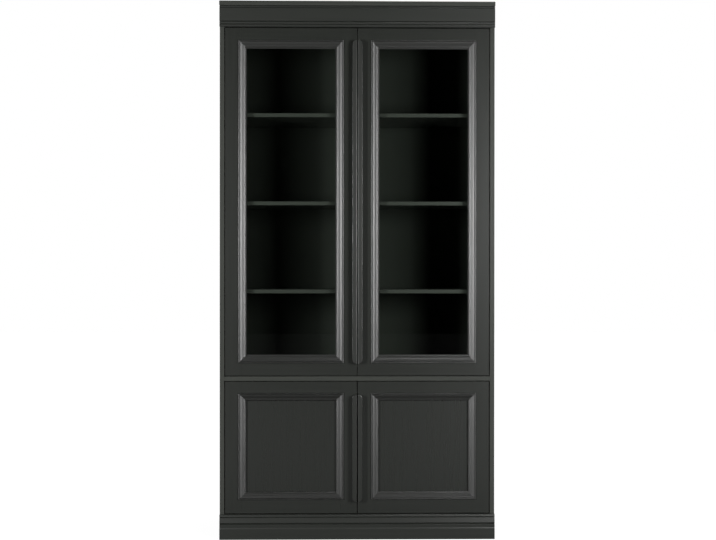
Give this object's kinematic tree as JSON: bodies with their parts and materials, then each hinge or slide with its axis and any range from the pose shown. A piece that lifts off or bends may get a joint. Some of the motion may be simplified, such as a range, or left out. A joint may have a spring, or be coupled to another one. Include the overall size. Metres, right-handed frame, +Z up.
{
  "type": "display cabinet",
  "caption": "Tall free-standing display cabinet in black-stained wood, glazed doors over panelled doors, moulded cornice and plinth, paired bar handles.",
  "frame": {"origin": "centre of the footprint, on the floor", "axes": "+Z up, front of the cabinet faces -Y, +X to the right as seen from the front"},
  "size_m": [1.1024, 0.444, 2.15],
  "materials": {
    "carcass_wood": "black-stained, satin lacquer",
    "door_wood": "black-stained, satin lacquer",
    "moulding_wood": "black-stained, satin lacquer, slightly glossier",
    "panel_wood": "black-stained, satin lacquer",
    "handle_wood": "black-stained, satin lacquer, worn smooth",
    "back_board": "black, matt",
    "clear_glass": "clear float glass",
    "steel": "zinc plated",
    "black_plastic": "moulded, fine texture"
  },
  "bodies": {
    "carcass": {"side_panel_left": "carcass_wood", "side_panel_right": "carcass_wood", "bottom_panel": "carcass_wood", "middle_panel": "carcass_wood", "top_panel": "carcass_wood", "back_panel_lower": "back_board", "back_panel_upper": "back_board", "plinth_front": "carcass_wood", "plinth_rear_rail": "carcass_wood", "cornice_front": "carcass_wood", "cornice_cap": "carcass_wood", "upper_shelf_bottom": "carcass_wood", "upper_shelf_middle": "carcass_wood", "upper_shelf_top": "carcass_wood", "lower_shelf": "carcass_wood", "upper_catch": "black_plastic", "lower_catch": "black_plastic", "upper_left_bottom_pivot": "steel", "upper_left_top_pivot": "steel", "upper_right_bottom_pivot": "steel", "upper_right_top_pivot": "steel", "lower_left_bottom_pivot": "steel", "lower_left_top_pivot": "steel", "lower_right_bottom_pivot": "steel", "lower_right_top_pivot": "steel"},
    "upper_left_door": {"upper_left_hinge_stile": "door_wood", "upper_left_meeting_stile": "door_wood", "upper_left_top_rail": "door_wood", "upper_left_bottom_rail": "door_wood", "upper_left_moulding": "moulding_wood", "upper_left_glass": "clear_glass", "upper_left_glazing_bead": "moulding_wood", "upper_left_handle": "handle_wood", "upper_left_strike_plate": "steel"},
    "upper_right_door": {"upper_right_hinge_stile": "door_wood", "upper_right_meeting_stile": "door_wood", "upper_right_top_rail": "door_wood", "upper_right_bottom_rail": "door_wood", "upper_right_moulding": "moulding_wood", "upper_right_glass": "clear_glass", "upper_right_glazing_bead": "moulding_wood", "upper_right_handle": "handle_wood", "upper_right_strike_plate": "steel"},
    "lower_left_door": {"lower_left_hinge_stile": "door_wood", "lower_left_meeting_stile": "door_wood", "lower_left_top_rail": "door_wood", "lower_left_bottom_rail": "door_wood", "lower_left_moulding": "moulding_wood", "lower_left_panel": "panel_wood", "lower_left_handle": "handle_wood", "lower_left_strike_plate": "steel"},
    "lower_right_door": {"lower_right_hinge_stile": "door_wood", "lower_right_meeting_stile": "door_wood", "lower_right_top_rail": "door_wood", "lower_right_bottom_rail": "door_wood", "lower_right_moulding": "moulding_wood", "lower_right_panel": "panel_wood", "lower_right_handle": "handle_wood", "lower_right_strike_plate": "steel"}
  },
  "joints": [
    {"name": "upper_left_hinge", "type": "hinge", "parent": "carcass", "child": "upper_left_door", "pos_m": [-0.50925, -0.19, 0.6536], "axis": [0, 0, -1], "range_deg": [0, 110]},
    {"name": "upper_right_hinge", "type": "hinge", "parent": "carcass", "child": "upper_right_door", "pos_m": [0.50925, -0.19, 0.6536], "axis": [0, 0, 1], "range_deg": [0, 110]},
    {"name": "lower_left_hinge", "type": "hinge", "parent": "carcass", "child": "lower_left_door", "pos_m": [-0.50925, -0.19, 0.1022], "axis": [0, 0, -1], "range_deg": [0, 110]},
    {"name": "lower_right_hinge", "type": "hinge", "parent": "carcass", "child": "lower_right_door", "pos_m": [0.50925, -0.19, 0.1022], "axis": [0, 0, 1], "range_deg": [0, 110]}
  ]
}
